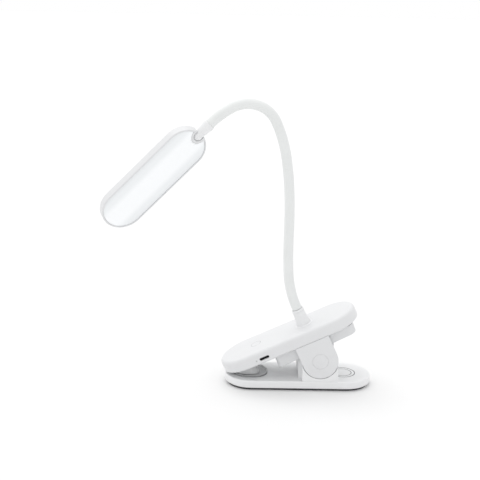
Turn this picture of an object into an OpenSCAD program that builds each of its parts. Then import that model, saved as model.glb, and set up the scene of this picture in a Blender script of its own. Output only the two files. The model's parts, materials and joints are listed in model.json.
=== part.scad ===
// Clip-on reading lamp: a sprung clip whose upper jaw is the battery housing, a sleeved
// gooseneck that bends at eight places, and a long flat light head on a swivel and a tilt pin.
// Origin: centre of the underside of the base. +X runs to the finger end of the clip,
// -X to the jaw, +Z up. The lamp is drawn with the clip closed. Millimetres and degrees.

/* [Base] */
// Length of the base plate
base_len = 128; // [120:1:136]
// Width of the base plate and of the battery housing
base_w = 46; // [44:1:48]
// Thickness of the base plate without its foot
base_t = 7; // [6.5:0.5:9]
// Thickness of the rubber foot under the base plate
foot_t = 2; // [1.5:0.5:3]

/* [Clip] */
// Hinge axis, distance towards the finger end
hinge_x = 18; // [17:0.2:19]
// Hinge axis, height above the ground
hinge_z = 27.3; // [27.2:0.1:27.9]
// Tilt of the battery housing with the clip closed
tilt = 25; // [24.4:0.2:25.2]
// Radius of the round ears of the hinge
ear_r = 15.4; // [14.6:0.2:15.8]
// Diameter of the steel hinge pin
pin_d = 4; // [3.6:0.2:4.2]

/* [Battery housing] */
// Length of the battery housing
body_len = 126.5; // [125:0.5:128]
// Thickness of the battery housing without its pod
body_t = 11.5; // [11.2:0.1:11.6]
// Depth of the battery pod below the housing at its jaw end, from where its floor rises
pod_t = 11; // [10.6:0.1:11.1]
// Wall thickness of the mouldings
wall = 1.7; // [1.5:0.1:2]

/* [Gooseneck] */
// Outside diameter of the silicone sleeve
neck_d = 8.6; // [8.2:0.2:8.8]
// Height of the boot at the foot of the neck
boot_h = 16; // [14:1:18]

/* [Head] */
// Length of the light head
head_len = 111; // [104:1:120]
// Width of the light head
head_w = 39; // [37:1:42]
// Thickness of the light head
head_t = 9; // [8.5:0.5:10]
// Turn of the lit face about the head's long axis, 90 faces straight out sideways
head_roll = 56; // [30:1:90]

/* [Hidden] */
$fn = 64;

white = "#eceef0";
shade_white = "#dcdee0";
silicone = "#8a8c8e";
rubber = "#3c3c3e";
steel = "#a8acb0";
copper = "#c98a52";
board_green = "#2f6b46";

// Base
base_r = base_w / 2;
base_top = foot_t + base_t;
base_wall = 2;
cover_t = 1.6;
foot_inset = 2.6;
jaw_x = -base_len / 2 + 20.6;
pad_r = 14.5;
pad_back = 16.5;
pad_sink = 1.2;
pad_rise = 1.4;
pad_floor = 0.5;
ring_x = 39.6;
bracket_screw_at = [[-12, -9], [-12, 9], [10, 0]];
cover_screw_at = [[-48, 0], [54, 0]];
rib_y = 4.8;
rib_t = 1.2;
rib_end = 50;

// Hinge
ear_out = base_r - 0.5;
ear_in = 18.9;
ear_gap = 0.5;
bracket_half = 18.4;
bracket_front = 18.5;
knuckle_r = 8.5;
cheek_top = 22;
cap_r = 6.7;
cap_t = 1.1;
pin_end = 21;
spring_r = 5.2;
spring_wire = 1.8;
spring_pitch = 2.1;
spring_slot = 8;
spring_turns = 5;
block_top = 17;
block_front_top = 27;
block_back = 9;

// Battery housing, in a frame whose origin is the hinge axis and whose X runs along the housing
top_n = 30;
low_n = top_n - body_t;
part_n = low_n + 2;
pod_n = low_n - pod_t;
body_u = -18.2;
body_r = base_w / 2;
in_r = body_r - wall;
edge_r = 3;
pod_u0 = -35;
pod_u1 = 38.3;
pod_half = 18.5;
pod_r = 8;
pod_rise = 2.3;
bay_u0 = -30;
bay_u1 = 32.2;
bay_half = 16.8;
port_u = -42.6;
port_n = 23;
light_u = -50;
touch_u = -47.1;
touch_r = 4.5;
board_u0 = -62;
board_u1 = -31;
board_half = 19.6;
board_n = 21.3;
board_t = 1.2;
screw_at = [[-66, -7], [-66, 7], [35.2, -8], [35.2, 8]];
wedge_u0 = -73.6;
wedge_u1 = -53.8;
wedge_half = 11.2;
wedge_r = 8;
boot_u = -1.2;
root_r = 2.9;
root_n = 24;
ball_r = 2.4;
socket_r = 2.5;
lead_bore = 1.2;

// Gooseneck: each of the eight stretches is one arc, given by its length and its turn
stretch_len = [34, 34, 34, 32, 30, 22, 22, 22];
stretch_turn = [-22, -4, 4, 7, 15, 50, 45, 15];
neck_r = neck_d / 2;
sleeve_in = 3;
sleeve_gap = 1;
core_gap = 0.9;
socket_gap = 0.55;
spigot = 5;

// Head, in a frame whose origin is the tilt pin, X runs to the far tip and Z out of the lit face
ferrule_len = 14;
ferrule_r = 5;
head_r = head_w / 2;
head_back = 3;
face_z = 1.6;
back_z = face_z - head_t;
notch_half = 4.6;
notch_wall = 2;
barrel_r = 3.9;
tilt_pin_r = 1;
tilt_pin_half = 6.2;
led_count = 9;
led_first = 17.4;
led_end = head_len - head_back - 10;
led_step = (led_end - 5.4 - led_first) / (led_count - 1);

// ---- Functions ----

// Sum of the first k items of a list
function sum_to(list, k) = k == 0 ? 0 : list[k - 1] + sum_to(list, k - 1);

// A point of the housing frame, (along, up), as world (x, z)
function body_xz(u, n) = [
    hinge_x + u * cos(tilt) - n * sin(tilt),
    hinge_z + u * sin(tilt) + n * cos(tilt)
];

// Height of the pod's underside, in the housing's frame, a distance u along the housing
function pod_floor(u) = pod_n + (u - pod_u0) * tan(pod_rise);

// Direction of the gooseneck at bend k, in degrees up from +X
function neck_dir(k) = 90 + tilt + sum_to(stretch_turn, k);

// Radius of stretch k, negative where it turns back
function bend_r(k) = stretch_len[k] / (stretch_turn[k] * PI / 180);

// Centre of bend k as world (x, z): 0 is at the boot's mouth and 8 at the light's ferrule
function neck_point(k) = k == 0
    ? body_xz(boot_u, top_n + boot_h)
    : neck_point(k - 1) + bend_r(k - 1) * [
        sin(neck_dir(k)) - sin(neck_dir(k - 1)),
        cos(neck_dir(k - 1)) - cos(neck_dir(k))
    ];

// A point a share t along stretch k, as world (x, z)
function neck_between(k, t) = neck_point(k) + bend_r(k) * [
    sin(neck_dir(k) + t * stretch_turn[k]) - sin(neck_dir(k)),
    cos(neck_dir(k)) - cos(neck_dir(k) + t * stretch_turn[k])
];

// Points on an arc in the plane, from angle a to b
function arc(cx, cy, r, a, b, steps = 6) = [
    for (i = [0 : steps]) [cx + r * cos(a + (b - a) * i / steps), cy + r * sin(a + (b - a) * i / steps)]
];

// ---- Shared shapes ----

// Half section of a round-ended bar: radius r, from z0 to z1, with its edges rounded; the lower
// rounding reaches low_edge in and low_rise up
module half_section(r, z0, z1, low_edge, top_edge, low_rise) {
    low_arc = [
        for (p = arc(0, 0, 1, -90, 0))
            [r - low_edge + low_edge * p[0], z0 + low_rise + low_rise * p[1]]
    ];
    polygon(concat(
        [[0, z0]],
        low_edge > 0 ? low_arc : [[r, z0]],
        top_edge > 0 ? arc(r - top_edge, z1 - top_edge, top_edge, 0, 90) : [[r, z1]],
        [[0, z1]]
    ));
}

// Round-ended bar along X, with its middle at the origin
module bar(length, r, z0, z1, low_edge = 0, top_edge = 0, low_rise = 0) {
    straight = length - 2 * r;
    rise = low_rise > 0 ? low_rise : low_edge;
    for (s = [-1, 1])
        translate([s * straight / 2, 0, 0])
            rotate([0, 0, -90 * s])
                rotate_extrude(angle = 180)
                    half_section(r, z0, z1, low_edge, top_edge, rise);
    rotate([90, 0, 90])
        linear_extrude(height = straight, center = true)
            union() {
                half_section(r, z0, z1, low_edge, top_edge, rise);
                mirror([1, 0]) half_section(r, z0, z1, low_edge, top_edge, rise);
            }
}

// Rectangle with round corners, from x0 to x1 and half_w each side of X
module soft_rectangle(x0, x1, half_w, r) {
    translate([x0 + r, r - half_w]) square([x1 - x0 - 2 * r, 2 * half_w - 2 * r]);
    translate([x0, r - half_w]) square([x1 - x0, 2 * half_w - 2 * r]);
    translate([x0 + r, -half_w]) square([x1 - x0 - 2 * r, 2 * half_w]);
    for (x = [x0 + r, x1 - r], s = [-1, 1])
        translate([x, s * (half_w - r)]) circle(r);
}

// Block standing on z0 with the outline of soft_rectangle
module soft_block(x0, x1, half_w, r, z0, z1) {
    translate([0, 0, z0])
        linear_extrude(height = z1 - z0)
            soft_rectangle(x0, x1, half_w, r);
}

// Cylinder across the lamp, along Y, from y0 to y1
module cross_rod(r, y0, y1) {
    translate([0, y0, 0])
        rotate([-90, 0, 0])
            cylinder(h = y1 - y0, r = r);
}

// Screw with its head down at z0 and its shank up to z1
module screw_up(z0, z1, head_r, head_h, shank_r) {
    difference() {
        cylinder_between(head_r, z0, z0 + head_h);
        for (a = [0, 90])
            rotate([0, 0, a])
                translate([-head_r * 0.6, -0.25, z0 - 1]) cube([head_r * 1.2, 0.5, 1.6]);
    }
    cylinder_between(shank_r, z0 + head_h - 0.1, z1);
}

// Cylinder along Z from z0 to z1
module cylinder_between(r, z0, z1) {
    translate([0, 0, z0]) cylinder(h = z1 - z0, r = r);
}

// Wire swept through points, with a flat ring of sides at each; side_dir lies across every ring
module wire(points, r, side_dir, sides = 8) {
    n = len(points);
    tangent = [
        for (i = [0 : n - 1])
            let (d = points[min(i + 1, n - 1)] - points[max(i - 1, 0)]) d / norm(d)
    ];
    rings = [
        for (i = [0 : n - 1])
            let (across = cross(tangent[i], side_dir), a = across / norm(across), b = cross(a, tangent[i]))
                for (j = [0 : sides - 1])
                    points[i] + r * (cos(360 * j / sides) * a + sin(360 * j / sides) * b)
    ];
    skin = [
        for (i = [0 : n - 2], j = [0 : sides - 1])
            let (k = (j + 1) % sides)
                each [
                    [i * sides + j, i * sides + k, (i + 1) * sides + k],
                    [i * sides + j, (i + 1) * sides + k, (i + 1) * sides + j]
                ]
    ];
    first_cap = [for (j = [sides - 1 : -1 : 0]) j];
    last_cap = [for (j = [0 : sides - 1]) (n - 1) * sides + j];
    polyhedron(points = rings, faces = concat([first_cap], skin, [last_cap]), convexity = 10);
}

// Puts housing pieces, drawn about the hinge axis, in their place
module in_housing() {
    translate([hinge_x, 0, hinge_z])
        rotate([0, -tilt, 0])
            children();
}

// Puts pieces drawn along X at bend k of the gooseneck
module at_bend(k) {
    p = neck_point(k);
    translate([p[0], 0, p[1]])
        rotate([0, -neck_dir(k), 0])
            children();
}

// Puts head pieces, drawn about the tilt pin, in their place
module in_head() {
    at_bend(8)
        translate([ferrule_len, 0, 0])
            rotate([head_roll, 0, 0])
                children();
}

// Outline of the head, whose far end lies head_len - head_back from the tilt pin
module head_bar(inset, z0, z1, low_edge = 0, top_edge = 0) {
    translate([head_len / 2 - head_back, 0, 0])
        bar(head_len - 2 * inset, head_r - inset, z0, z1, low_edge, top_edge);
}

// Bent rod that follows stretch k of the gooseneck between two distances from its start
module stretch_rod(k, r, from, to) {
    turn = abs(stretch_turn[k]);
    radius = abs(bend_r(k));
    degrees_per_mm = turn / stretch_len[k];
    at_bend(k)
        mirror([0, 0, stretch_turn[k] < 0 ? 1 : 0])
            translate([0, 0, radius])
                rotate([90, 0, 0])
                    rotate([0, 0, from * degrees_per_mm - 90])
                        rotate_extrude(angle = (to - from) * degrees_per_mm)
                            translate([radius, 0]) circle(r);
}

// ---- Base ----

module base_plate() {
    color(white)
        difference() {
            bar(base_len, base_r, foot_t, base_top, 1.8, 1.2);
            difference() {
                bar(base_len - 2 * base_wall, base_r - base_wall, foot_t - 1, base_top - base_wall);
                for (p = bracket_screw_at)
                    translate([hinge_x + p[0], p[1], 0]) cylinder_between(3.6, foot_t + 2.6, base_top);
                for (p = cover_screw_at)
                    translate([p[0], p[1], 0]) cylinder_between(3, foot_t + cover_t, base_top);
                for (s = [-1, 1])
                    translate([-rib_end, s * rib_y - rib_t / 2, foot_t + cover_t])
                        cube([2 * rib_end, rib_t, base_t]);
            }
            for (p = bracket_screw_at)
                translate([hinge_x + p[0], p[1], 0]) cylinder_between(1.5, foot_t, base_top + 1);
            for (p = cover_screw_at)
                translate([p[0], p[1], 0]) cylinder_between(1.1, foot_t, base_top - 2);
            translate([0, 0, base_top - pad_sink])
                linear_extrude(height = 3) pad_outline(0.1);
            for (r = [8, 11])
                translate([ring_x, 0, base_top - 0.4])
                    difference() {
                        cylinder(h = 1, r = r + 0.25);
                        translate([0, 0, -1]) cylinder(h = 3, r = r - 0.25);
                    }
        }
}

module base_cover() {
    color(shade_white)
        difference() {
            bar(base_len - 2 * base_wall - 0.4, base_r - base_wall - 0.2, foot_t, foot_t + cover_t);
            for (p = cover_screw_at)
                translate([p[0], p[1], 0]) {
                    cylinder_between(1.3, 0, base_top);
                    cylinder_between(2.4, 0, foot_t + 1);
                }
        }
}

module foot_pad() {
    color(rubber)
        bar(base_len - 2 * foot_inset, base_r - foot_inset, 0, foot_t, 0.4, 0);
}

module cover_screws() {
    color(steel)
        for (p = cover_screw_at)
            translate([p[0], p[1], 0]) screw_up(foot_t, base_top - 2.2, 2.2, 1, 1.1);
}

// Plan outline of the lower jaw's pad: a half round towards the tip and softer corners behind
module pad_outline(grow = 0) {
    corner_r = 12;
    translate([jaw_x, 0]) circle(pad_r + grow);
    soft_rectangle(jaw_x - corner_r, jaw_x + pad_back + grow, pad_r + grow, corner_r);
}

module lower_jaw_pad() {
    color(silicone)
        translate([0, 0, base_top - pad_sink])
            difference() {
                linear_extrude(height = pad_sink + pad_rise) pad_outline();
                translate([0, 0, pad_sink + pad_floor])
                    linear_extrude(height = pad_rise) pad_outline(-1.4);
                for (i = [0 : 5])
                    translate([jaw_x - 10 + 3.4 * i, -9, pad_sink + pad_floor - 0.4]) cube([1, 18, 2]);
            }
}

// Plan outline of the middle of the bracket back to x1, with its front corners cut back
module bracket_outline(x1) {
    cut = 4;
    polygon([
        [-bracket_front, cut - bracket_half], [cut - bracket_front, -bracket_half],
        [x1, -bracket_half], [x1, bracket_half],
        [cut - bracket_front, bracket_half], [-bracket_front, bracket_half - cut]
    ]);
}

module hinge_bracket() {
    seat_r = ear_r + ear_gap;
    color(white)
        difference() {
            union() {
                translate([hinge_x, 0, base_top]) {
                    linear_extrude(height = block_front_top - base_top) bracket_outline(block_back);
                    linear_extrude(height = block_top - base_top) bracket_outline(ear_r);
                }
                translate([hinge_x, 0, hinge_z]) cross_rod(knuckle_r, -bracket_half, bracket_half);
                difference() {
                    translate([hinge_x - ear_r, -ear_out, base_top])
                        cube([2 * ear_r, 2 * ear_out, cheek_top - base_top]);
                    for (s = [-1, 1])
                        translate([hinge_x, 0, hinge_z])
                            cross_rod(seat_r, s > 0 ? bracket_half : -base_w, s > 0 ? base_w : -bracket_half);
                }
            }
            translate([hinge_x, 0, hinge_z]) cross_rod(pin_d / 2, -base_w, base_w);
            translate([hinge_x - 9.5, -spring_slot, hinge_z - spring_r - spring_wire / 2])
                cube([30, 2 * spring_slot, 30]);
            translate([hinge_x - 2, -spring_slot, block_top])
                cube([30, 2 * spring_slot, 30]);
            for (p = bracket_screw_at)
                translate([hinge_x + p[0], p[1], 0]) cylinder_between(1.25, 0, base_top + 6);
        }
}

module bracket_screws() {
    color(steel)
        for (p = bracket_screw_at)
            translate([hinge_x + p[0], p[1], 0]) screw_up(foot_t + cover_t + 0.1, base_top + 5.5, 2.6, 0.8, 1.25);
}

module hinge_pin() {
    color(steel)
        translate([hinge_x, 0, hinge_z]) cross_rod(pin_d / 2, -pin_end, pin_end);
}

// Torsion spring: both legs run to the finger end, one on the bracket and one under the pod
module torsion_spring() {
    steps = 108;
    wire_r = spring_wire / 2;
    low_tip = [13, block_top - hinge_z + wire_r];
    high_reach = [14, pod_floor(14) - wire_r];
    high_tip = [
        high_reach[0] * cos(tilt) - high_reach[1] * sin(tilt),
        high_reach[0] * sin(tilt) + high_reach[1] * cos(tilt)
    ];
    first = atan2(low_tip[1], low_tip[0]) + asin(spring_r / norm(low_tip)) - 90;
    last = atan2(high_tip[1], high_tip[0]) - asin(spring_r / norm(high_tip)) + 90;
    turn = 360 * spring_turns + first - last + 360;
    length = turn / 360 * spring_pitch;
    coil = [
        for (i = [0 : steps])
            let (a = first - turn * i / steps)
                [spring_r * cos(a), length * (i / steps - 0.5), spring_r * sin(a)]
    ];
    color(steel)
        translate([hinge_x, 0, hinge_z])
            wire(concat(
                [[low_tip[0], -length / 2, low_tip[1]]],
                coil,
                [[high_tip[0], length / 2, high_tip[1]]]
            ), wire_r - 0.1, [0, 1, 0]);
}

// ---- Battery housing ----

module body_bar(inset, n0, n1, low_edge = 0, top_edge = 0, low_rise = 0) {
    translate([body_u, 0, 0])
        bar(body_len - 2 * inset, body_r - inset, n0, n1, low_edge, top_edge, low_rise);
}

// Round-ended slot of the charging socket, cut or filled along Y
module port_slot(width, height, y0, y1) {
    translate([port_u, y0, port_n])
        rotate([-90, 0, 0])
            linear_extrude(height = y1 - y0)
                union() {
                    for (s = [-1, 1])
                        translate([s * (width - height) / 2, 0]) circle(height / 2);
                    square([width - height, height], center = true);
                }
}

module upper_shell() {
    color(white)
        in_housing()
            difference() {
                body_bar(0, part_n, top_n, 0, edge_r);
                difference() {
                    body_bar(wall, part_n - 1, top_n - wall, 0, 1.5);
                    for (p = screw_at)
                        translate([p[0], p[1], 0]) cylinder_between(3, part_n, top_n);
                    translate([boot_u, 0, 0]) cylinder_between(9, top_n - 3, top_n);
                }
                for (p = screw_at)
                    translate([p[0], p[1], 0]) cylinder_between(1.2, part_n - 1, top_n - 3);
                translate([boot_u, 0, 0]) cylinder_between(root_r + 0.02, part_n, top_n + 1);
                translate([touch_u, 0, top_n - 0.3])
                    difference() {
                        cylinder(h = 1, r = touch_r + 0.2);
                        translate([0, 0, -1]) cylinder(h = 3, r = touch_r - 0.2);
                    }
                port_slot(8.9, 2.7, -body_r - 1, -in_r + 1);
                translate([light_u, 0, port_n]) cross_rod(0.8, -body_r - 1, -in_r + 1);
            }
}

// One ear of the hinge, from y0 to y1
module ear(y0, y1) {
    cross_rod(ear_r, y0, y1);
    translate([-ear_r, y0, 0]) cube([2 * ear_r, y1 - y0, low_n + 0.5]);
}

module lower_shell() {
    color(white)
        in_housing()
            difference() {
                union() {
                    body_bar(0, low_n, part_n, 3, 0, 1.9);
                    ear(-ear_out, -ear_in);
                    ear(ear_in, ear_out);
                }
                soft_block(bay_u0, bay_u1, bay_half, 3, low_n - 1, part_n + 1);
                for (p = screw_at)
                    translate([p[0], p[1], 0]) {
                        cylinder_between(1.4, low_n - 1, part_n + 1);
                        cylinder_between(2.5, low_n - 1, low_n + 1.2);
                    }
                cross_rod(pin_d / 2 + 0.05, -base_w, base_w);
                cross_rod(cap_r + 0.1, -base_w, -ear_out + cap_t);
                cross_rod(cap_r + 0.1, ear_out - cap_t, base_w);
            }
}

module hinge_caps() {
    color(shade_white)
        in_housing() {
            cross_rod(cap_r, -ear_out, -ear_out + cap_t);
            cross_rod(cap_r, ear_out - cap_t, ear_out);
        }
}

// Block of the pod's outline drawn in by inset, on a floor that lies inset above the pod's underside
module pod_block(inset, top) {
    difference() {
        soft_block(pod_u0 + inset, pod_u1 - inset, pod_half - inset, pod_r - inset, pod_n, top);
        translate([pod_u0, -base_w, pod_n + inset])
            rotate([0, -pod_rise, 0])
                translate([-20, 0, -20]) cube([120, 2 * base_w, 20]);
    }
}

module battery_cover() {
    color(shade_white)
        in_housing()
            difference() {
                pod_block(0, low_n);
                pod_block(wall, low_n + 1);
            }
}

module battery_cell() {
    color("#5b6f9c")
        in_housing()
            soft_block(-27, 31, 15.8, 2, pod_floor(31) + wall + 0.3, part_n - 0.2);
}

// Two leads from the battery's tabs up to the circuit board
module battery_leads() {
    in_housing()
        for (s = [-1, 1])
            color(s > 0 ? "#a02c2c" : "#26282c")
                wire([
                    [-27.4, 5 * s, 19.8], [-28.5, 5 * s, 21], [-29.5, 5 * s, 22.6],
                    [-31, 5 * s, 24], [-32.8, 5 * s, 24], [-33.8, 5 * s, 23.3], [-33.8, 5 * s, 22.52]
                ], 0.6, [0, 1, 0]);
}

module circuit_board() {
    color(board_green)
        in_housing()
            difference() {
                soft_block(board_u0, board_u1, board_half, 1.5, board_n, board_n + board_t);
                translate([port_u - 4.8, -board_half - 1, board_n - 1]) cube([9.6, 7, 4]);
                translate([touch_u, 0, 0]) cylinder_between(0.6, board_n - 1, board_n + 3);
            }
}

module board_components() {
    z = board_n + board_t;
    color("#303236")
        in_housing() {
            translate([-40, 4, z]) cube([5, 5, 0.9]);
            translate([-41, -8, z]) cube([4, 4, 2]);
            translate([-56, 6, z]) cube([6, 4, 1.1]);
            translate([-55, -10, z]) cube([3, 1.6, 0.8]);
            for (i = [0 : 3])
                translate([-58 + 2.6 * i, 13, z]) cube([1.6, 0.8, 0.6]);
        }
}

module usb_port() {
    y0 = -in_r + 0.1;
    y1 = y0 + 7.3;
    color(steel)
        in_housing() {
            difference() {
                port_slot(8.9, 3.1, y0, y1);
                port_slot(8.3, 2.5, y0 - 1, y1 - 0.5);
            }
            translate([port_u - 3.2, y0 + 1, port_n - 0.35]) cube([6.4, y1 - y0 - 1.3, 0.7]);
        }
}

module status_light() {
    color("#d8ffd8")
        in_housing()
            translate([light_u, 0, port_n]) cross_rod(0.75, -body_r + 0.1, -board_half - 0.1);
}

// Coil that carries a finger's touch from under the ringed mark down to the board
module touch_spring() {
    steps = 90;
    bottom = board_n + board_t + 0.4;
    top = top_n - wall - 0.45;
    color(copper)
        in_housing()
            wire([
                for (i = [0 : steps])
                    let (t = i / steps, a = 360 * 5 * t, r = 2 + 1.6 * t)
                        [touch_u + r * cos(a), r * sin(a), bottom + (top - bottom) * t]
            ], 0.35, [0, 0, 1]);
}

// Wedge pad under the housing's tip: its working face lies flat on the lower pad
module upper_jaw_pad() {
    working_z = base_top + pad_floor + 0.3;
    color(silicone)
        difference() {
            in_housing()
                translate([0, 0, 4])
                    linear_extrude(height = low_n - 4)
                        soft_rectangle(wedge_u0, wedge_u1, wedge_half, wedge_r);
            translate([-150, -50, working_z - 60]) cube([300, 100, 60]);
            for (i = [0 : 5])
                translate([jaw_x - 10.8 + 3.4 * i, -20, working_z - 1]) cube([1, 40, 1.6]);
        }
}

module housing_screws() {
    color(steel)
        in_housing()
            for (p = screw_at)
                translate([p[0], p[1], 0]) screw_up(low_n, top_n - 3.4, 2.3, 1.1, 1.2);
}

// ---- Gooseneck ----

module neck_boot() {
    base_rad = 6.9;
    top_rad = 5.3;
    top = top_n + boot_h - sleeve_gap;
    color(white)
        in_housing()
            translate([boot_u, 0, 0])
                difference() {
                    union() {
                        translate([0, 0, top_n]) cylinder(h = 2, r1 = base_rad + 0.8, r2 = base_rad - 0.2);
                        translate([0, 0, top_n]) cylinder(h = top - top_n - 1.6, r1 = base_rad, r2 = top_rad);
                        cylinder_between(top_rad - 0.3, top_n + 1, top - 1);
                        cylinder_between(top_rad, top - 1.2, top);
                    }
                    cylinder_between(root_r, top_n - 1, top + 1);
                }
}

// Fixed foot of the gooseneck: a tube through the shell, a flange under the nut and a ball on top
module neck_root() {
    ball_n = top_n + boot_h;
    color(steel)
        in_housing()
            translate([boot_u, 0, 0])
                difference() {
                    union() {
                        cylinder_between(root_r, root_n, ball_n - core_gap);
                        translate([0, 0, ball_n]) sphere(ball_r);
                    }
                    cylinder_between(lead_bore, part_n, ball_n + 5);
                }
}

module neck_nut() {
    color(steel)
        in_housing()
            translate([boot_u, 0, top_n - 5.6])
                difference() {
                    cylinder(h = 2.6, r = 5.5, $fn = 6);
                    translate([0, 0, -1]) cylinder(h = 5, r = root_r);
                }
}

module neck_sleeve(k) {
    color(white)
        difference() {
            stretch_rod(k, neck_r, sleeve_gap, stretch_len[k] - (k < 7 ? sleeve_gap : 0.3));
            stretch_rod(k, sleeve_in, 0, stretch_len[k] + 1);
        }
}

module neck_core(k) {
    last = k == 7;
    color(steel)
        difference() {
            union() {
                stretch_rod(k, root_r, socket_gap, stretch_len[k] - (last ? 0.3 : core_gap));
                if (last)
                    at_bend(8) rotate([0, 90, 0]) cylinder_between(ball_r, -1, spigot);
                else
                    at_bend(k + 1) sphere(ball_r);
            }
            at_bend(k) sphere(socket_r);
            stretch_rod(k, lead_bore, 0, stretch_len[k] + spigot + 1);
        }
}

// Pair of wires in one jacket, from the circuit board up the gooseneck to the light
module lamp_lead() {
    start = [
        [-34, 23.42], [-30, 23.8], [-24, 24], [-16, 24], [-9, 23], [-5, 22], [-2.6, 22],
        [boot_u - 0.4, 22.5], [boot_u, 23.5], [boot_u, 24.5], [boot_u, 32], [boot_u, 40]
    ];
    steps = 6;
    foot = [for (p = start) body_xz(p[0], p[1])];
    neck = [for (k = [0 : 7], i = [0 : steps - 1]) neck_between(k, i / steps)];
    route = concat(foot, neck, [neck_point(8)]);
    color("#2c2e32")
        wire([for (p = route) [p[0], 0, p[1]]], 0.9, [0, 1, 0]);
}

// ---- Head ----

module head_ferrule() {
    color(white)
        difference() {
            union() {
                at_bend(8)
                    rotate([0, 90, 0]) {
                        cylinder_between(ferrule_r, 0, 2.2);
                        translate([0, 0, 2.2])
                            cylinder(h = ferrule_len - 1.2, r1 = ferrule_r, r2 = barrel_r - 0.5);
                        translate([0, 0, ferrule_len]) sphere(barrel_r);
                    }
            }
            at_bend(8) rotate([0, 90, 0]) cylinder_between(ball_r + 0.05, -1, spigot + 0.4);
            at_bend(8) rotate([0, 90, 0]) cylinder_between(lead_bore, 0, ferrule_len - 3);
            in_head() cross_rod(tilt_pin_r + 0.05, -10, 10);
        }
}

module tilt_pin() {
    color(steel)
        in_head() cross_rod(tilt_pin_r, -tilt_pin_half, tilt_pin_half);
}

// Space around the ferrule's barrel, open at the end and through the head
module head_notch(grow = 0) {
    translate([-20, -notch_half - grow, back_z - 5]) cube([20, 2 * (notch_half + grow), head_t + 10]);
    cylinder_between(notch_half + grow, back_z - 5, face_z + 5);
}

module head_shell() {
    skin = 1.4;
    color(white)
        in_head()
            difference() {
                head_bar(0, back_z, face_z, 3, 0.5);
                difference() {
                    head_bar(skin, back_z + skin, face_z + 1, 1.6, 0);
                    head_notch(notch_wall);
                }
                head_notch();
                cross_rod(tilt_pin_r, -tilt_pin_half, tilt_pin_half);
            }
}

module diffuser() {
    color("#f8fafc")
        in_head()
            difference() {
                head_bar(1.5, face_z - 1.7, face_z - 0.2, 0, 0.6);
                head_notch(notch_wall + 0.1);
            }
}

module reflector_tray() {
    low = back_z + 2.9;
    color(white)
        in_head()
            difference() {
                head_bar(2, low, face_z - 1.8);
                head_bar(3.2, low + 0.6, face_z);
                soft_block(12, led_end, 8, 1, low - 1, low + 2);
                head_notch(notch_wall + 0.3);
            }
}

module led_board() {
    z = back_z + 1.5;
    color("#e6e8ea")
        in_head() soft_block(12, led_end, 9, 1.5, z, z + 1.2);
}

module led_chips() {
    z = back_z + 2.7;
    color("#f3d26a")
        in_head()
            for (i = [0 : led_count - 1], s = [-1, 1])
                translate([led_first + led_step * i - 1.4, s * 4 - 1.5, z]) cube([2.8, 3, 0.8]);
}

module board_screws() {
    z = back_z + 2.7;
    color(steel)
        in_head()
            for (x = [14, led_end - 1.8])
                translate([x, 0, z]) cylinder(h = 1, r = 1.3);
}

base_plate();
base_cover();
foot_pad();
cover_screws();
hinge_bracket();
bracket_screws();
lower_jaw_pad();
hinge_pin();
torsion_spring();
upper_shell();
lower_shell();
battery_cover();
battery_cell();
battery_leads();
circuit_board();
board_components();
usb_port();
status_light();
touch_spring();
upper_jaw_pad();
housing_screws();
hinge_caps();
neck_boot();
neck_root();
neck_nut();
neck_sleeve(0);  // neck_sleeve_1
neck_sleeve(1);  // neck_sleeve_2
neck_sleeve(2);  // neck_sleeve_3
neck_sleeve(3);  // neck_sleeve_4
neck_sleeve(4);  // neck_sleeve_5
neck_sleeve(5);  // neck_sleeve_6
neck_sleeve(6);  // neck_sleeve_7
neck_sleeve(7);  // neck_sleeve_8
neck_core(0);  // neck_core_1
neck_core(1);  // neck_core_2
neck_core(2);  // neck_core_3
neck_core(3);  // neck_core_4
neck_core(4);  // neck_core_5
neck_core(5);  // neck_core_6
neck_core(6);  // neck_core_7
neck_core(7);  // neck_core_8
lamp_lead();
head_ferrule();
head_shell();
diffuser();
reflector_tray();
led_board();
led_chips();
board_screws();
tilt_pin();
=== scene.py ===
"""Looks of the clip-on reading lamp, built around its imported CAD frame."""
import json
import math

import bmesh
import bpy
from mathutils import Matrix, Vector


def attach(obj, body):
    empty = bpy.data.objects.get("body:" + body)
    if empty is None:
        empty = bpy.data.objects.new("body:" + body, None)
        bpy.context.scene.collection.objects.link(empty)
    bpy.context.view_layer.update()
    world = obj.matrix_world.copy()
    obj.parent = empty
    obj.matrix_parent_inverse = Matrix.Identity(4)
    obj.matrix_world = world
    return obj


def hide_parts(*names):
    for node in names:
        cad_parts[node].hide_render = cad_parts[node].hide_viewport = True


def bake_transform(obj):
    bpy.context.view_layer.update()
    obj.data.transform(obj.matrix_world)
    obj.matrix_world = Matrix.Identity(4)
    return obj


MM = 0.001

# ---- Camera ----

TARGET = Vector((-52.96, 0, 128.3)) * MM
DISTANCE = 800 * MM
AZIMUTH, ELEVATION, ROLL = (math.radians(a) for a in (-0.5, 14.04, 1.05))
LENS_MM = 70.2


def add_camera():
    """Camera that looks at TARGET from AZIMUTH and ELEVATION, turned by ROLL about its view."""
    back = Vector((
        math.sin(AZIMUTH) * math.cos(ELEVATION),
        -math.cos(AZIMUTH) * math.cos(ELEVATION),
        math.sin(ELEVATION),
    ))
    data = bpy.data.cameras.new("camera")
    data.lens = LENS_MM
    data.sensor_width = 36
    data.clip_start = 0.01
    camera = bpy.data.objects.new("camera", data)
    bpy.context.scene.collection.objects.link(camera)
    turn = back.to_track_quat("Z", "Y").to_matrix() @ Matrix.Rotation(ROLL, 3, "Z")
    camera.matrix_world = Matrix.Translation(TARGET + DISTANCE * back) @ turn.to_4x4()
    bpy.context.scene.camera = camera


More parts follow.
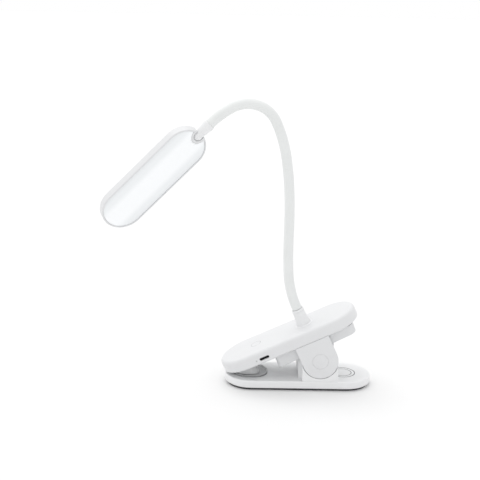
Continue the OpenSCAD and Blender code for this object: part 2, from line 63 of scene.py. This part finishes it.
add_camera()
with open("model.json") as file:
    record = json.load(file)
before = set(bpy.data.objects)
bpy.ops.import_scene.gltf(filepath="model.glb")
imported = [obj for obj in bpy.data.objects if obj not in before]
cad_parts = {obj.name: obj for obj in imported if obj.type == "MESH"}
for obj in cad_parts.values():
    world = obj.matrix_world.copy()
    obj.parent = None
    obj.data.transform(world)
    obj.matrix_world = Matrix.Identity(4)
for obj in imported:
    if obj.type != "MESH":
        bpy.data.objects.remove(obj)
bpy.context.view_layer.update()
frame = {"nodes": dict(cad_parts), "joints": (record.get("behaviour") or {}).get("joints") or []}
NODES = frame["nodes"]
JOINTS = {j["name"]: j for j in frame["joints"]}

# ---- Places that the frame gives ----

TILT = math.radians(25)
HINGE = Vector(JOINTS["clip_hinge"]["pos_m"])
HOUSING = Matrix.Translation(HINGE) @ Matrix.Rotation(-TILT, 4, "Y")
STRETCHES = 8
BENDS = [Vector(JOINTS[f"neck_bend_{k}"]["pos_m"]) for k in range(1, STRETCHES + 1)]
BENDS.append(Vector(JOINTS["head_swivel"]["pos_m"]))
NECK_TURNS = [math.radians(a) for a in (-22, -4, 4, 7, 15, 50, 45, 15)]
NECK_R = 4.3 * MM
SWIVEL = Vector(JOINTS["head_swivel"]["axis"])
HEAD_K = Vector(JOINTS["head_tilt"]["pos_m"])
HEAD_X = SWIVEL.normalized()
HEAD_Y = Vector(JOINTS["head_tilt"]["axis"]).normalized()
HEAD_Z = HEAD_X.cross(HEAD_Y)
HEAD = Matrix((
    (HEAD_X.x, HEAD_Y.x, HEAD_Z.x, HEAD_K.x),
    (HEAD_X.y, HEAD_Y.y, HEAD_Z.y, HEAD_K.y),
    (HEAD_X.z, HEAD_Y.z, HEAD_Z.z, HEAD_K.z),
    (0, 0, 0, 1),
))
BASE_TOP = 9
TOP_N = 30
BOOT_U = -1.2

# ---- Materials ----


def node_at(tree, kind, **values):
    """New shader node with its attributes, or its inputs, set by name."""
    made = tree.nodes.new(kind)
    for name, value in values.items():
        if hasattr(made, name):
            setattr(made, name, value)
        else:
            made.inputs[name.replace("_", " ")].default_value = value
    return made


def moulded(name, color, rough, spread=0.03, grain_mm=0.35, bump=0.06, cloud_mm=14, **shader):
    """Plastic, rubber or metal with a fine surface grain, a slight cloudiness and uneven gloss."""
    material = bpy.data.materials.new(name)
    material.use_nodes = True
    tree = material.node_tree
    bsdf = tree.nodes["Principled BSDF"]
    for socket, value in shader.items():
        bsdf.inputs[socket.replace("_", " ")].default_value = value
    place = node_at(tree, "ShaderNodeTexCoord")
    cloud = node_at(tree, "ShaderNodeTexNoise", Scale=1 / (cloud_mm * MM), Detail=3.0)
    grain = node_at(tree, "ShaderNodeTexNoise", Scale=1 / (grain_mm * MM), Detail=2.0)
    for noise in (cloud, grain):
        tree.links.new(place.outputs["Object"], noise.inputs["Vector"])
    tint = node_at(tree, "ShaderNodeValToRGB")
    tint.color_ramp.elements[0].position = 0.3
    tint.color_ramp.elements[1].position = 0.7
    tint.color_ramp.elements[0].color = [c * (1 - spread) for c in color] + [1]
    tint.color_ramp.elements[1].color = list(color) + [1]
    tree.links.new(cloud.outputs["Fac"], tint.inputs["Fac"])
    tree.links.new(tint.outputs["Color"], bsdf.inputs["Base Color"])
    gloss = node_at(tree, "ShaderNodeMapRange")
    gloss.inputs["To Min"].default_value = rough - 0.05
    gloss.inputs["To Max"].default_value = rough + 0.05
    tree.links.new(grain.outputs["Fac"], gloss.inputs["Value"])
    tree.links.new(gloss.outputs["Result"], bsdf.inputs["Roughness"])
    relief = node_at(tree, "ShaderNodeBump", Strength=bump, Distance=0.05 * MM)
    tree.links.new(grain.outputs["Fac"], relief.inputs["Height"])
    tree.links.new(relief.outputs["Normal"], bsdf.inputs["Normal"])
    return material


def painted_shade_bands(name, steps, rough, **shader):
    """Material with light and shade painted across the head, lighter along its middle and darker towards its
    rim: steps are (mm from its long axis, colour).
    """
    material = moulded(name, steps[0][1], rough, bump=0.02, **shader)
    tree = material.node_tree
    bsdf = tree.nodes["Principled BSDF"]
    place = node_at(tree, "ShaderNodeTexCoord")
    across = node_at(tree, "ShaderNodeVectorMath", operation="DOT_PRODUCT")
    across.inputs[1].default_value = HEAD_Y
    tree.links.new(place.outputs["Object"], across.inputs[0])
    middle = HEAD_K.dot(HEAD_Y)
    shift = node_at(tree, "ShaderNodeMath", operation="SUBTRACT")
    shift.inputs[1].default_value = middle
    away = node_at(tree, "ShaderNodeMath", operation="ABSOLUTE")
    span = node_at(tree, "ShaderNodeMath", operation="DIVIDE")
    span.inputs[1].default_value = steps[-1][0] * MM
    tree.links.new(across.outputs["Value"], shift.inputs[0])
    tree.links.new(shift.outputs["Value"], away.inputs[0])
    tree.links.new(away.outputs["Value"], span.inputs[0])
    ramp = node_at(tree, "ShaderNodeValToRGB")
    ramp.color_ramp.interpolation = "EASE"
    while len(ramp.color_ramp.elements) < len(steps):
        ramp.color_ramp.elements.new(0.5)
    for element, (distance, color) in zip(ramp.color_ramp.elements, steps):
        element.position = distance / steps[-1][0]
        element.color = list(color) + [1]
    tree.links.new(span.outputs["Value"], ramp.inputs["Fac"])
    tree.links.new(ramp.outputs["Color"], bsdf.inputs["Base Color"])
    return material


SATIN = {"Coat_Weight": 0.15, "Coat_Roughness": 0.3}
SHELL = moulded("shell_white", (0.72, 0.725, 0.735), 0.38, spread=0.02, **SATIN)
BASE = moulded("base_white", (0.80, 0.805, 0.812), 0.38, spread=0.02, **SATIN)
# Darker copy of the shell white: painted shade for the battery pod in the shadow under the housing
SHELL_PAINTED_SHADE = moulded("shell_painted_shade", (0.68, 0.685, 0.695), 0.45, spread=0.03)
SLEEVE = moulded("sleeve_silicone", (0.775, 0.79, 0.785), 0.55, spread=0.03, grain_mm=0.25, bump=0.1)
FOOT = moulded("foot_rubber", (0.05, 0.05, 0.055), 0.7, spread=0.2, bump=0.25)
# Dark grey for the lower pad's wall: painted shade for the shadow gap round the pad
PAD_WALL_PAINTED_SHADE = moulded("pad_wall_painted_shade", (0.26, 0.265, 0.27), 0.6, spread=0.1, bump=0.2)
PAD_LIGHT = moulded("pad_silicone_light", (0.62, 0.625, 0.63), 0.6, spread=0.06, bump=0.2)
# Dark greys for the ring marks: painted shade for the fine grooves they sit in
GROOVE_PAINTED_SHADE = moulded("ring_groove_painted_shade", (0.04, 0.042, 0.045), 0.5, spread=0.1)
FAINT_GROOVE_PAINTED_SHADE = moulded("ring_groove_painted_shade_faint", (0.45, 0.455, 0.46), 0.5, spread=0.1)
# Near black USB socket: painted shade for the dark slot in the shell wall
SOCKET_PAINTED_SHADE = moulded("socket_shell_painted_shade", (0.06, 0.06, 0.065), 0.35, spread=0.1, Metallic=0.6)
STEEL = moulded("steel", (0.62, 0.63, 0.65), 0.3, spread=0.1, grain_mm=0.15, Metallic=1.0)
DARK = moulded("dark_plastic", (0.03, 0.03, 0.035), 0.45, spread=0.2)
WRAP = moulded("battery_wrap", (0.11, 0.16, 0.33), 0.35, spread=0.1)
BOARD = moulded("board_mask", (0.03, 0.14, 0.06), 0.35, spread=0.2, cloud_mm=3)
COPPER = moulded("copper", (0.8, 0.46, 0.25), 0.3, Metallic=1.0)
LENS = moulded("status_lens", (0.55, 0.57, 0.56), 0.25)
TRAY = moulded("reflector", (0.9, 0.9, 0.91), 0.25)
CHIP = moulded("led_phosphor", (0.9, 0.75, 0.25), 0.4, spread=0.1, cloud_mm=1)
# Opal front: painted light and shade, lighter along the middle and darker towards the rim, standing in for
# how light falls on its crown
OPAL_PAINTED_SHADE = painted_shade_bands("opal_front_painted_shade", [
    (0, (0.95, 0.965, 0.98)),
    (6, (0.95, 0.965, 0.98)),
    (13, (0.85, 0.87, 0.885)),
    (18.2, (0.80, 0.82, 0.835)),
], 0.3, Coat_Weight=0.2, Coat_Roughness=0.25)

CAD_MATERIALS = {
    SHELL: ["upper_shell", "lower_shell", "hinge_caps", "head_shell"],
    BASE: ["base_plate", "hinge_bracket", "neck_boot", "head_ferrule"],
    SHELL_PAINTED_SHADE: ["base_cover", "battery_cover"],
    SLEEVE: [f"neck_sleeve_{k}" for k in range(1, STRETCHES + 1)],
    FOOT: ["foot_pad"],
    PAD_WALL_PAINTED_SHADE: ["lower_jaw_pad"],
    PAD_LIGHT: ["upper_jaw_pad"],
    SOCKET_PAINTED_SHADE: ["usb_port"],
    STEEL: [
        "hinge_pin", "torsion_spring", "cover_screws", "bracket_screws", "housing_screws", "board_screws",
        "tilt_pin", "neck_nut", "neck_root",
    ] + [f"neck_core_{k}" for k in range(1, STRETCHES + 1)],
    DARK: ["board_components", "battery_leads", "lamp_lead"],
    WRAP: ["battery_cell"],
    BOARD: ["circuit_board"],
    COPPER: ["touch_spring"],
    LENS: ["status_light"],
    TRAY: ["reflector_tray", "led_board"],
    CHIP: ["led_chips"],
    OPAL_PAINTED_SHADE: ["diffuser"],
}
for material, names in CAD_MATERIALS.items():
    for name in names:
        data = NODES[name].data
        data.materials.clear()
        data.materials.append(material)

# ---- Shapes ----


def piece(name, verts, faces, material, place=Matrix.Identity(4)):
    """Smooth mesh object with its sharp edges kept; verts are in millimetres before place."""
    mesh = bpy.data.meshes.new(name)
    mesh.from_pydata([place @ (Vector(v) * MM) for v in verts], [], faces)
    work = bmesh.new()
    work.from_mesh(mesh)
    bmesh.ops.recalc_face_normals(work, faces=work.faces)
    work.to_mesh(mesh)
    work.free()
    mesh.polygons.foreach_set("use_smooth", [True] * len(mesh.polygons))
    mesh.set_sharp_from_angle(angle=math.radians(35))
    mesh.materials.append(material)
    made = bpy.data.objects.new(name, mesh)
    bpy.context.scene.collection.objects.link(made)
    return made


def ring_faces(rings, around, close=()):
    """Quads between rings of points, and an end face on the rings named in close."""
    faces = []
    for ring in range(rings - 1):
        low, high = ring * around, (ring + 1) * around
        for i in range(around):
            j = (i + 1) % around
            faces.append((low + i, low + j, high + j, high + i))
    return faces + [tuple(range(r * around, (r + 1) * around)) for r in close]


def lathe(name, profile, material, place, around=72):
    """Profile of (radius, height) turned about Z, with both ends closed."""
    verts = [
        (r * math.cos(math.tau * i / around), r * math.sin(math.tau * i / around), z)
        for r, z in profile for i in range(around)
    ]
    faces = ring_faces(len(profile), around, (0, len(profile) - 1))
    return piece(name, verts, faces, material, place)


def rounded(x0, x1, half, front_r, back_r, inset=0, arc_steps=12, side_steps=10):
    """Outline from x0 to x1, half each side of X, with corners of front_r at x0 and back_r at x1."""
    corners = [
        (x1 - back_r, half - back_r, back_r, 0),
        (x0 + front_r, half - front_r, front_r, 90),
        (x0 + front_r, front_r - half, front_r, 180),
        (x1 - back_r, back_r - half, back_r, 270),
    ]
    arcs = [
        [(cx + (r - inset) * math.cos(a), cy + (r - inset) * math.sin(a))
         for a in (math.radians(start + 90 * i / arc_steps) for i in range(arc_steps + 1))]
        for cx, cy, r, start in corners
    ]
    outline = []
    for k, points in enumerate(arcs):
        (ax, ay), (bx, by) = points[-1], arcs[(k + 1) % 4][0]
        outline += points
        outline += [
            (ax + (bx - ax) * i / side_steps, ay + (by - ay) * i / side_steps)
            for i in range(1, side_steps)
        ]
    return outline


def loft(name, rings, material, place=Matrix.Identity(4), extra=()):
    """Closed skin through rings of (x, y, z) points, with further closed skins joined to it."""
    verts, faces = [], []
    for group in (rings, *extra):
        around = len(group[0])
        start = len(verts)
        verts += [point for ring in group for point in ring]
        faces += [
            tuple(start + i for i in face)
            for face in ring_faces(len(group), around, (0, len(group) - 1))
        ]
    return piece(name, verts, faces, material, place)


def level(outline, z):
    """Outline lifted to height z, or to a height that z gives for each of its points."""
    return [(x, y, z(x) if callable(z) else z) for x, y in outline]


def cut(obj, cutter):
    """Takes cutter's shape out of obj and drops cutter."""
    modifier = obj.modifiers.new("cut", "BOOLEAN")
    modifier.object = cutter
    modifier.solver = "EXACT"
    bpy.context.view_layer.objects.active = obj
    with bpy.context.temp_override(object=obj, active_object=obj):
        bpy.ops.object.modifier_apply(modifier=modifier.name)
    bpy.data.objects.remove(cutter)


def stretch_point(k, t):
    """Point and direction, in metres, a share t along stretch k of the gooseneck.

    The stretch is an arc between its two joints, and runs on straight where t is outside 0 to 1.
    """
    a, b = BENDS[k], BENDS[k + 1]
    turn = NECK_TURNS[k]
    chord = b - a
    start = math.atan2(chord.z, chord.x) - turn / 2
    radius = chord.length / (2 * math.sin(turn / 2))
    inside = min(max(t, 0), 1)
    angle = start + inside * turn
    point = a + radius * Vector((math.sin(angle) - math.sin(start), 0, math.cos(start) - math.cos(angle)))
    direction = Vector((math.cos(angle), 0, math.sin(angle)))
    return point + (t - inside) * abs(radius * turn) * direction, direction


def tube(name, path, radius, material, around=40):
    """Open tube around path, a list of (point, direction) in metres; each section holds the Y axis."""
    verts = []
    for point, direction in path:
        side = Vector((0, 1, 0))
        out = direction.cross(side)
        for i in range(around):
            a = math.tau * i / around
            verts.append((point + radius * (math.cos(a) * out + math.sin(a) * side)) / MM)
    return piece(name, verts, ring_faces(len(path), around), material)


def with_directions(points):
    """Each point of a route with its direction, taken between its two neighbours."""
    last = len(points) - 1
    return [
        (point, (points[min(i + 1, last)] - points[max(i - 1, 0)]).normalized())
        for i, point in enumerate(points)
    ]


def neck_path(k, from_t, to_t, steps):
    """Points along stretch k between two shares of it."""
    return [stretch_point(k, from_t + (to_t - from_t) * i / steps) for i in range(steps + 1)]


# How far a bend spreads each side of its joint, how little of that fits in the boot, and the share
# of the first stretch that the sleeve reaches down into the boot
BEND_REACH, BOOT_REACH, BOOT_SHARE = 5.5 * MM, 0.8 * MM, 0.026
HALF_STEPS = 12


def across_joint(k, name, radius, material):
    """Tube that bends at the joint between stretches k - 1 and k, from the middle of one to the other.

    The first tube starts in the boot instead, and the last one runs to the end of the neck.
    """
    if k == 0:
        before = neck_path(0, -BOOT_SHARE, 0, 2)[:-1]
    else:
        before = neck_path(k - 1, 0.5, 1, HALF_STEPS)[:-1]
    if k == STRETCHES - 1:
        after = neck_path(k, 0, 1, 2 * HALF_STEPS)
    else:
        after = neck_path(k, 0, 0.5, HALF_STEPS)
    made = tube(name, before + after, radius, material)
    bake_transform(made)
    return made


# ---- Gooseneck ----

LEAD_R = 0.9 * MM
for k in range(STRETCHES):
    skin = across_joint(k, f"neck_skin_{k + 1}", NECK_R, SLEEVE)
    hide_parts(f"neck_sleeve_{k + 1}")
    across_joint(k, f"lead_run_{k + 1}", LEAD_R, DARK)

# Foot of the lead: from the circuit board under the neck's fixed foot and up through it
lead_route = [
    HOUSING @ (Vector((u, 0, n)) * MM)
    for u, n in (
        (-34, 23.45), (-30, 23.8), (-24, 24), (-16, 24), (-9, 23), (-5, 22), (-2.6, 22),
        (-1.6, 22.5), (-1.2, 23.5), (-1.2, 24.5), (-1.2, 45),
    )
]
lead_foot = tube("lead_foot", with_directions(lead_route), LEAD_R, DARK, around=12)
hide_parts("lamp_lead")
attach(lead_foot, "housing")

# Boot: a flared foot, a slightly hollow cone, a fine groove and a rolled lip round the sleeve
boot_profile = (
    [(NECK_R / MM - 1.5, 0)]
    + [(7.7 - 1.0 * math.sin(a), 1.15 - 1.15 * math.cos(a)) for a in (math.pi / 2 * i / 8 for i in range(9))]
    + [(6.7 - 1.4 * t - 0.35 * math.sin(math.pi * t), 1.3 + 10.6 * t) for t in (i / 16 for i in range(17))]
    + [(5.3, 12.4), (5.0, 12.5), (5.0, 12.9), (5.35, 13.0)]
    + [(4.75 + 0.6 * math.cos(a), 14.4 + 0.6 * math.sin(a)) for a in (math.pi / 2 * i / 6 for i in range(7))]
    + [(NECK_R / MM + 0.05, 14.8), (NECK_R / MM - 0.4, 14.0)]
)
boot_place = HOUSING @ Matrix.Translation(Vector((BOOT_U, 0, TOP_N)) * MM)
boot = lathe("boot_skin", boot_profile, BASE, boot_place)
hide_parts("neck_boot")
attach(boot, "housing")

# ---- Clip ----

# Lower pad: a soft tray with a rolled rim and low ribs on its floor
JAW_X, PAD_R, PAD_BACK, PAD_CORNER = -43.4, 14.5, 16.5, 12
PAD_LOW, PAD_FLOOR, RIM_TOP = BASE_TOP - 1.2, BASE_TOP + 0.5, BASE_TOP + 1.4


def pad_ring(inset, z):
    """Ring of the lower pad at height z."""
    return level(rounded(JAW_X - PAD_R, JAW_X + PAD_BACK, PAD_R, PAD_R, PAD_CORNER, inset), z)


def rib(x, half, low, high):
    """Rings of a low round-ended rib across the pad."""
    return [
        level(rounded(x - 0.7, x + 0.7, half, 0.65, 0.65, inset, 4, 3), z)
        for inset, z in ((0, low), (0, (low + high) / 2), (0.2, high - 0.1), (0.5, high))
    ]


# The pad's wall is dark, painted shade for the shadow gap round the pad, and its face is light
RIB_PITCH = 3.4
ribs = [
    rib(JAW_X - 9.5 + RIB_PITCH * i, 8.5, PAD_FLOOR - 0.2, PAD_FLOOR + 0.22)
    for i in range(6)
]
lower_pad = loft("lower_pad_skin", [
    pad_ring(0, PAD_LOW), pad_ring(0, RIM_TOP - 0.35), pad_ring(0.08, RIM_TOP - 0.2),
    pad_ring(0.3, RIM_TOP - 0.2), pad_ring(0.3, PAD_LOW + 0.05),
], PAD_WALL_PAINTED_SHADE)
pad_face = loft("lower_pad_face", [
    pad_ring(0.15, PAD_LOW + 0.1), pad_ring(0.15, RIM_TOP - 0.25), pad_ring(0.3, RIM_TOP - 0.07),
    pad_ring(0.55, RIM_TOP), pad_ring(0.9, RIM_TOP), pad_ring(1.15, RIM_TOP - 0.08),
    pad_ring(1.35, RIM_TOP - 0.3), pad_ring(1.4, PAD_FLOOR + 0.15), pad_ring(1.6, PAD_FLOOR),
], PAD_LIGHT, extra=ribs)
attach(pad_face, "base")
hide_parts("lower_jaw_pad")
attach(lower_pad, "base")

# Upper pad: a wedge whose working face lies flat on the lower pad's floor
WEDGE = (-73.6, -53.8, 11.2, 8, 8)
WORKING_Z = PAD_FLOOR + 0.3
LOW_N = 18.5
HINGE_Z = HINGE.z / MM


def wedge_ring(inset, lift):
    """Ring of the wedge where its sides come within lift of the working face."""
    return [
        (u, v, (WORKING_Z + lift - HINGE_Z - u * math.sin(TILT)) / math.cos(TILT))
        for u, v in rounded(*WEDGE, inset)
    ]


upper_pad = loft("upper_pad_skin", [
    level(rounded(*WEDGE, 0), LOW_N + 0.2),
    wedge_ring(0, 1.3), wedge_ring(0.12, 0.7), wedge_ring(0.5, 0.2), wedge_ring(1.1, 0),
], PAD_LIGHT, HOUSING)
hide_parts("upper_jaw_pad")
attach(upper_pad, "housing")


def ring_mark(name, radius, width, top, place, body, material):
    """Thin ring sitting in a groove, its edges rounded and its top a given height above the face; its colour
    is painted shade for the groove.
    """
    half = width / 2
    section = [
        (-half, -0.2), (half, -0.2), (half, -0.02), (half - 0.05, 0), (0.05 - half, 0), (-half, -0.02),
    ]
    around = 96
    verts = [
        ((radius + r) * math.cos(a), (radius + r) * math.sin(a), top + z)
        for a in (math.tau * i / around for i in range(around)) for r, z in section
    ]
    count = len(section)
    faces = [
        (i * count + j, i * count + (j + 1) % count,
         (i + 1) % around * count + (j + 1) % count, (i + 1) % around * count + j)
        for i in range(around) for j in range(count)
    ]
    made = piece(name, verts, faces, material, place)
    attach(made, body)


# The thumb rings are near black and the touch ring mid grey: painted shade for their grooves
RING_X, TOUCH_U = 39.6, -47.1
thumb_place = Matrix.Translation(Vector((RING_X, 0, BASE_TOP)) * MM)
ring_mark("thumb_ring_inner", 8, 0.6, 0.03, thumb_place, "base", GROOVE_PAINTED_SHADE)
ring_mark("thumb_ring_outer", 11, 0.7, 0.03, thumb_place, "base", GROOVE_PAINTED_SHADE)
touch_place = HOUSING @ Matrix.Translation(Vector((TOUCH_U, 0, TOP_N)) * MM)
ring_mark("touch_ring", 4.5, 0.38, -0.06, touch_place, "housing", FAINT_GROOVE_PAINTED_SHADE)

# Battery pod: its floor rises towards the finger end and its edges are rolled over. It is coloured with
# painted shade, a darker copy of the shell white, for the shadow under the housing
POD = (-35, 38.3, 18.5, 3.5, 6)
POD_N = 7.5
POD_RISE = math.tan(math.radians(2.3))
POD_EDGE = 0.9


def pod_floor(u):
    """Height of the pod's sloping floor at u."""
    return POD_N + (u - POD[0]) * POD_RISE


def pod_ring(inset, lift):
    """Ring of the pod at a height above its sloping floor."""
    return level(rounded(*POD, inset), lambda u: pod_floor(u) + lift)


pod = loft("pod_skin", [
    level(rounded(*POD, 0), LOW_N + 0.1),
    *[pod_ring(POD_EDGE * (1 - math.cos(a)), 0.02 + POD_EDGE * (1 - math.sin(a)))
      for a in (math.pi / 2 * i / 6 for i in range(7))],
    pod_ring(2.6, 0.02), pod_ring(2.9, 0.25), pod_ring(3.2, 0.02),
], SHELL_PAINTED_SHADE, HOUSING)
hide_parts("battery_cover")
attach(pod, "housing")

# Torsion spring: its low leg rests on the bracket, its high leg reaches up under the housing's pod, and the
# coil is wound between them
SPRING_R, SPRING_WIRE_R, SPRING_PITCH = 5.2, 0.8, 2.1
SPRING_TURNS = 6
LEG_GAP = 0.9
LOW_REACH, HIGH_REACH = 13, 14
BRACKET_TOP = 17
COIL_STEPS = 160
low_tip = Vector((LOW_REACH, BRACKET_TOP - HINGE_Z + LEG_GAP))
high_tip = Vector((HIGH_REACH, pod_floor(HIGH_REACH) - LEG_GAP))
high_tip.rotate(Matrix.Rotation(TILT, 2))


def leaves_coil(tip, side):
    """Angle at which a leg that ends at tip leaves the coil."""
    return math.atan2(tip.y, tip.x) + side * (math.asin(SPRING_R / tip.length) - math.pi / 2)


first = leaves_coil(low_tip, 1)
wound = SPRING_TURNS * math.tau + first - leaves_coil(high_tip, -1)
half_coil = wound / math.tau * SPRING_PITCH / 2
spring_points = [(low_tip.x, -half_coil, low_tip.y)]
for i in range(COIL_STEPS + 1):
    a = first - wound * i / COIL_STEPS
    y = half_coil * (2 * i / COIL_STEPS - 1)
    spring_points.append((SPRING_R * math.cos(a), y, SPRING_R * math.sin(a)))
spring_points.append((high_tip.x, half_coil, high_tip.y))
spring_path = with_directions([HINGE + Vector(p) * MM for p in spring_points])
spring = tube("spring_skin", spring_path, SPRING_WIRE_R * MM, STEEL, around=12)
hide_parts("torsion_spring")
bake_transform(spring)

# ---- Head ----

# Ferrule: a sleeve with a rolled lip and a groove, closed by the ball that the tilt pin runs through
swivel_turn = SWIVEL.to_track_quat("Z", "Y").to_matrix().to_4x4()
ferrule_place = Matrix.Translation(BENDS[STRETCHES]) @ swivel_turn
FERRULE_LEN = (HEAD_K - BENDS[STRETCHES]).length / MM
BALL_R = 4.0
ferrule_profile = (
    [(3.0, 0.05), (4.5, 0.05), (4.85, 0.2), (5.0, 0.6), (5.0, 1.7), (4.86, 1.8), (4.86, 2.1), (4.98, 2.2)]
    + [(4.98 - 1.4 * t ** 1.3, 2.2 + (FERRULE_LEN - 3.4) * t) for t in (i / 10 for i in range(1, 11))]
    + [(BALL_R * math.cos(a), FERRULE_LEN + BALL_R * math.sin(a))
       for a in (math.radians(d) for d in range(0, 86, 6))]
    + [(0.2, FERRULE_LEN + BALL_R)]
)
ferrule = lathe("ferrule_skin", ferrule_profile, BASE, ferrule_place)
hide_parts("head_ferrule")
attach(ferrule, "ferrule")

# Opal front: crowned across its width, with a rolled edge, cut away round the ferrule
HEAD_BACK, HEAD_LEN, HEAD_HALF, FACE_Z, RIM = 3, 111, 19.5, 1.6, 1.45
FRONT_HALF = HEAD_HALF - RIM
FRONT = (RIM - HEAD_BACK, HEAD_LEN - HEAD_BACK - RIM, FRONT_HALF, FRONT_HALF, FRONT_HALF)
front = loft("front_skin", [
    level(rounded(*FRONT, inset, arc_steps=24), z) for inset, z in (
        (0, -0.1), (0, FACE_Z - 0.75), (0.12, FACE_Z - 0.4), (0.5, FACE_Z - 0.2), (1.2, FACE_Z - 0.08),
        (3, FACE_Z + 0.1), (6, FACE_Z + 0.32), (10, FACE_Z + 0.5), (14, FACE_Z + 0.58),
        (17.6, FACE_Z + 0.6),
    )
], OPAL_PAINTED_SHADE, HEAD)
NOTCH_R = 6.75
notch_outline = rounded(-20, NOTCH_R, NOTCH_R, 0.5, NOTCH_R - 0.05)
notch = loft("notch", [level(notch_outline, z) for z in (-6, 6)], OPAL_PAINTED_SHADE, HEAD)
cut(front, notch)
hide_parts("diffuser")
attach(front, "head")

# ---- Floor and light ----

FLOOR_HALF = 30
floor_corners = [(FLOOR_HALF * x, FLOOR_HALF * y, 0) for x, y in ((-1, -1), (1, -1), (1, 1), (-1, 1))]
floor_mesh = bpy.data.meshes.new("floor")
floor_mesh.from_pydata(floor_corners, [], [(0, 1, 2, 3)])
floor = bpy.data.objects.new("floor", floor_mesh)
bpy.context.scene.collection.objects.link(floor)
floor_mesh.materials.append(moulded("floor_paper", (0.835, 0.835, 0.835), 0.9, spread=0.0, bump=0.0))

world = bpy.data.worlds.new("studio")
bpy.context.scene.world = world
world.use_nodes = True
world.node_tree.nodes["Background"].inputs["Color"].default_value = (1, 1, 1, 1)
world.node_tree.nodes["Background"].inputs["Strength"].default_value = 1.0

# One soft sun, from above and a little to the left and behind
sun = bpy.data.lights.new("overhead", "SUN")
sun.energy = 0.85
sun.angle = math.radians(60)
overhead = bpy.data.objects.new("overhead", sun)
overhead.rotation_euler = Vector((-0.3, 0.35, 1.0)).to_track_quat("Z", "Y").to_euler()
bpy.context.scene.collection.objects.link(overhead)

bpy.context.scene.view_settings.view_transform = "Standard"
